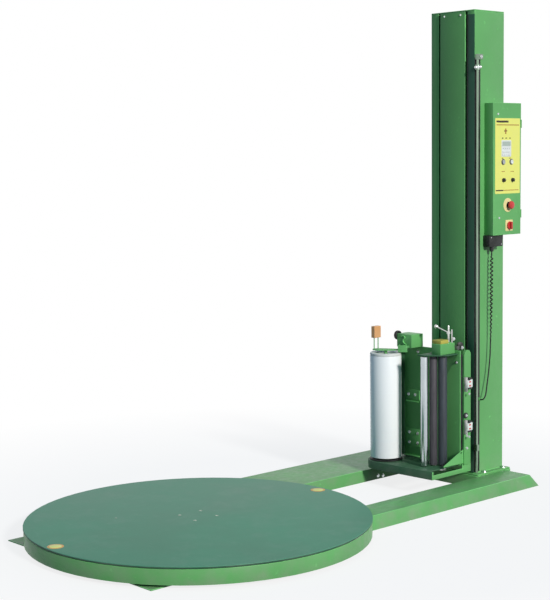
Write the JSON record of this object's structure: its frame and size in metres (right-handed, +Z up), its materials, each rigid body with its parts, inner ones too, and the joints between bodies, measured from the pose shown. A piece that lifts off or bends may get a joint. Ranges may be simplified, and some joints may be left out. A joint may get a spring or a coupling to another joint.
{
  "type": "turntable pallet wrapper",
  "caption": "Round turntable on low floor rails beside a mast with a lifting film carriage, a film roll and stretch rollers, and a control box on the mast's side.",
  "frame": {"origin": "on the turntable's axis at floor level, under the bearing base", "axes": "+X from the turntable to the mast, +Z up, +Y to the wide rail's side"},
  "size_m": [2.5918, 1.5, 2.322],
  "materials": {
    "green_paint": "satin powder-coated sheet steel",
    "deck_paint": "satin painted steel plate, scuffed",
    "steel": "zinc-plated steel",
    "dark_steel": "dark oiled steel",
    "chrome": "polished",
    "rubber": "matt rubber covering",
    "black_plastic": "matt black moulding",
    "white_film": "wound stretch film",
    "cardboard": "spiral-wound cardboard",
    "red_plastic": "moulded",
    "ochre_paint": "satin",
    "orange_plastic": "moulded",
    "grey_plastic": "moulded",
    "motor_paint": "enamelled casting"
  },
  "bodies": {
    "frame": {"near_rail": "green_paint", "far_rail": "green_paint", "cross_box": "green_paint", "bearing_base": "dark_steel", "skirt_ring": "green_paint", "drive_gearmotor": "motor_paint", "rail_chain": "steel", "cross_chain": "steel", "mast_column": "green_paint", "mast_front_cover": "green_paint", "mast_cap": "green_paint", "lift_gearmotor": "motor_paint", "lift_chain": "steel", "cord_guide_rod": "chrome", "control_box": "green_paint", "junction_box": "black_plastic", "coiled_cord": "black_plastic", "cord_tail": "black_plastic"},
    "turntable": {"deck": "deck_paint", "drive_ring": "dark_steel"},
    "carriage": {"trolley": "dark_steel", "carriage_plate": "green_paint", "carriage_shelf": "green_paint", "drive_cover": "green_paint", "drive_cover_lid": "ochre_paint", "side_bar": "green_paint", "limit_switch_high": "grey_plastic", "limit_switch_low": "grey_plastic", "arm_hinge_block": "green_paint"},
    "film": {"mandrel_base": "black_plastic", "film_core": "cardboard", "film_roll": "white_film", "top_adapter": "grey_plastic"},
    "roll_arm": {"top_arm": "green_paint", "load_sensor": "orange_plastic"},
    "latch_knob": {"latch_knob": "black_plastic"},
    "gate_lever": {"gate_lever": "steel"},
    "idler_roller": {"idler_roller": "chrome"},
    "slow_roller": {"slow_roller": "rubber"},
    "fast_roller": {"fast_roller": "rubber"},
    "lift_drive_sprocket": {"lift_drive_sprocket": "dark_steel"},
    "lift_idler_sprocket": {"lift_idler_sprocket": "dark_steel"},
    "drive_pinion": {"drive_pinion": "dark_steel"},
    "countershaft": {"countershaft": "dark_steel"},
    "drive_sprocket": {"drive_sprocket": "dark_steel"},
    "control_door": {"control_door": "green_paint"},
    "support_roller_near_front": {"support_roller_near_front": "grey_plastic"},
    "support_roller_near_rear": {"support_roller_near_rear": "grey_plastic"},
    "support_roller_far_front": {"support_roller_far_front": "grey_plastic"},
    "support_roller_far_rear": {"support_roller_far_rear": "grey_plastic"},
    "guide_roller_near_low": {"guide_roller_near_low": "grey_plastic"},
    "guide_roller_far_low": {"guide_roller_far_low": "grey_plastic"},
    "guide_roller_near_high": {"guide_roller_near_high": "grey_plastic"},
    "guide_roller_far_high": {"guide_roller_far_high": "grey_plastic"},
    "start_button": {"start_button": "grey_plastic"},
    "stop_button": {"stop_button": "black_plastic"},
    "mode_knob": {"mode_knob": "black_plastic"},
    "speed_knob": {"speed_knob": "black_plastic"},
    "emergency_stop": {"emergency_stop": "red_plastic"},
    "main_switch": {"main_switch": "red_plastic"}
  },
  "joints": [
    {"name": "turntable_spin", "type": "hinge", "parent": "frame", "child": "turntable", "pos_m": [0, 0, 0.05], "axis": [0, 0, 1], "continuous": true},
    {"name": "support_roller_near_front_spin", "type": "hinge", "parent": "frame", "child": "support_roller_near_front", "pos_m": [-0.41712, -0.37365, 0.0637], "axis": [-0.7448, -0.6672, 0], "continuous": true},
    {"name": "support_roller_near_rear_spin", "type": "hinge", "parent": "frame", "child": "support_roller_near_rear", "pos_m": [0.41712, -0.37365, 0.0637], "axis": [0.7448, -0.6672, 0], "continuous": true},
    {"name": "support_roller_far_front_spin", "type": "hinge", "parent": "frame", "child": "support_roller_far_front", "pos_m": [-0.32729, 0.4544, 0.0637], "axis": [-0.5845, 0.8114, 0], "continuous": true},
    {"name": "support_roller_far_rear_spin", "type": "hinge", "parent": "frame", "child": "support_roller_far_rear", "pos_m": [0.32729, 0.4544, 0.0637], "axis": [0.5845, 0.8114, 0], "continuous": true},
    {"name": "pinion_spin", "type": "hinge", "parent": "frame", "child": "drive_pinion", "pos_m": [0.34234, 0.376, 0.02], "axis": [0, 0, 1], "continuous": true},
    {"name": "countershaft_spin", "type": "hinge", "parent": "frame", "child": "countershaft", "pos_m": [1.6585, 0.376, 0.02], "axis": [0, 0, 1], "continuous": true},
    {"name": "drive_sprocket_spin", "type": "hinge", "parent": "frame", "child": "drive_sprocket", "pos_m": [1.6585, -0.11775, 0.042], "axis": [0, 0, 1], "continuous": true},
    {"name": "carriage_lift", "type": "slide", "parent": "frame", "child": "carriage", "axis": [0, 0, 1], "range_m": [0, 1.5]},
    {"name": "guide_roller_near_low_spin", "type": "hinge", "parent": "carriage", "child": "guide_roller_near_low", "pos_m": [1.5683, -0.202, 0.205], "axis": [0, 1, 0], "continuous": true},
    {"name": "guide_roller_far_low_spin", "type": "hinge", "parent": "carriage", "child": "guide_roller_far_low", "pos_m": [1.5683, -0.036, 0.205], "axis": [0, 1, 0], "continuous": true},
    {"name": "guide_roller_near_high_spin", "type": "hinge", "parent": "carriage", "child": "guide_roller_near_high", "pos_m": [1.5683, -0.202, 0.615], "axis": [0, 1, 0], "continuous": true},
    {"name": "guide_roller_far_high_spin", "type": "hinge", "parent": "carriage", "child": "guide_roller_far_high", "pos_m": [1.5683, -0.036, 0.615], "axis": [0, 1, 0], "continuous": true},
    {"name": "lift_drive_sprocket_spin", "type": "hinge", "parent": "frame", "child": "lift_drive_sprocket", "pos_m": [1.69, -0.119, 0.33], "axis": [0, 1, 0], "continuous": true},
    {"name": "lift_idler_sprocket_spin", "type": "hinge", "parent": "frame", "child": "lift_idler_sprocket", "pos_m": [1.69, -0.119, 2.24], "axis": [0, 1, 0], "continuous": true},
    {"name": "film_spin", "type": "hinge", "parent": "carriage", "child": "film", "pos_m": [1.316, 0.119, 0.4], "axis": [0, 0, 1], "continuous": true},
    {"name": "idler_spin", "type": "hinge", "parent": "carriage", "child": "idler_roller", "pos_m": [1.315, -0.135, 0.4], "axis": [0, 0, 1], "continuous": true},
    {"name": "slow_roller_spin", "type": "hinge", "parent": "carriage", "child": "slow_roller", "pos_m": [1.362, -0.152, 0.4], "axis": [0, 0, 1], "continuous": true},
    {"name": "fast_roller_spin", "type": "hinge", "parent": "carriage", "child": "fast_roller", "pos_m": [1.39, -0.187, 0.4], "axis": [0, 0, 1], "continuous": true},
    {"name": "roll_arm_lift", "type": "hinge", "parent": "carriage", "child": "roll_arm", "pos_m": [1.358, 0.06, 0.675], "axis": [0.8147, 0.5799, 0], "range_deg": [0, 70]},
    {"name": "latch_turn", "type": "hinge", "parent": "carriage", "child": "latch_knob", "pos_m": [1.388, 0.1043, 0.742], "axis": [0, 1, 0], "range_deg": [0, 90]},
    {"name": "gate_swing", "type": "hinge", "parent": "carriage", "child": "gate_lever", "pos_m": [1.424, -0.196, 0.776], "axis": [0, 0, 1], "range_deg": [0, 90]},
    {"name": "door_swing", "type": "hinge", "parent": "frame", "child": "control_door", "pos_m": [1.838, -0.3081, 1.56], "axis": [0, 0, 1], "range_deg": [0, 110]},
    {"name": "start_press", "type": "slide", "parent": "control_door", "child": "start_button", "axis": [0, 1, 0], "range_m": [0, 0.003], "stiffness_N_per_m": 300},
    {"name": "stop_press", "type": "slide", "parent": "control_door", "child": "stop_button", "axis": [0, 1, 0], "range_m": [0, 0.003], "stiffness_N_per_m": 300},
    {"name": "emergency_press", "type": "slide", "parent": "control_door", "child": "emergency_stop", "axis": [0, 1, 0], "range_m": [0, 0.006], "stiffness_N_per_m": 400},
    {"name": "mode_turn", "type": "hinge", "parent": "control_door", "child": "mode_knob", "pos_m": [1.699, -0.3081, 1.507], "axis": [0, -1, 0], "range_deg": [0, 90]},
    {"name": "speed_turn", "type": "hinge", "parent": "control_door", "child": "speed_knob", "pos_m": [1.769, -0.3081, 1.507], "axis": [0, -1, 0], "range_deg": [0, 270]},
    {"name": "main_switch_turn", "type": "hinge", "parent": "control_door", "child": "main_switch", "pos_m": [1.747, -0.3081, 1.285], "axis": [0, -1, 0], "range_deg": [0, 90]}
  ],
  "couplings": [
    {"joint": "support_roller_near_front_spin", "follows": "turntable_spin", "ratio": -28},
    {"joint": "support_roller_near_rear_spin", "follows": "turntable_spin", "ratio": -28},
    {"joint": "support_roller_far_front_spin", "follows": "turntable_spin", "ratio": -28},
    {"joint": "support_roller_far_rear_spin", "follows": "turntable_spin", "ratio": -28},
    {"joint": "pinion_spin", "follows": "turntable_spin", "ratio": -18.538},
    {"joint": "countershaft_spin", "follows": "turntable_spin", "ratio": -18.538},
    {"joint": "drive_sprocket_spin", "follows": "turntable_spin", "ratio": -18.538},
    {"joint": "guide_roller_near_low_spin", "follows": "carriage_lift", "rad_per_m": -55.556},
    {"joint": "guide_roller_far_low_spin", "follows": "carriage_lift", "rad_per_m": -55.556},
    {"joint": "guide_roller_near_high_spin", "follows": "carriage_lift", "rad_per_m": -55.556},
    {"joint": "guide_roller_far_high_spin", "follows": "carriage_lift", "rad_per_m": -55.556},
    {"joint": "lift_drive_sprocket_spin", "follows": "carriage_lift", "rad_per_m": 33.333},
    {"joint": "lift_idler_sprocket_spin", "follows": "carriage_lift", "rad_per_m": 33.333},
    {"joint": "fast_roller_spin", "follows": "slow_roller_spin", "ratio": -1.4191}
  ]
}
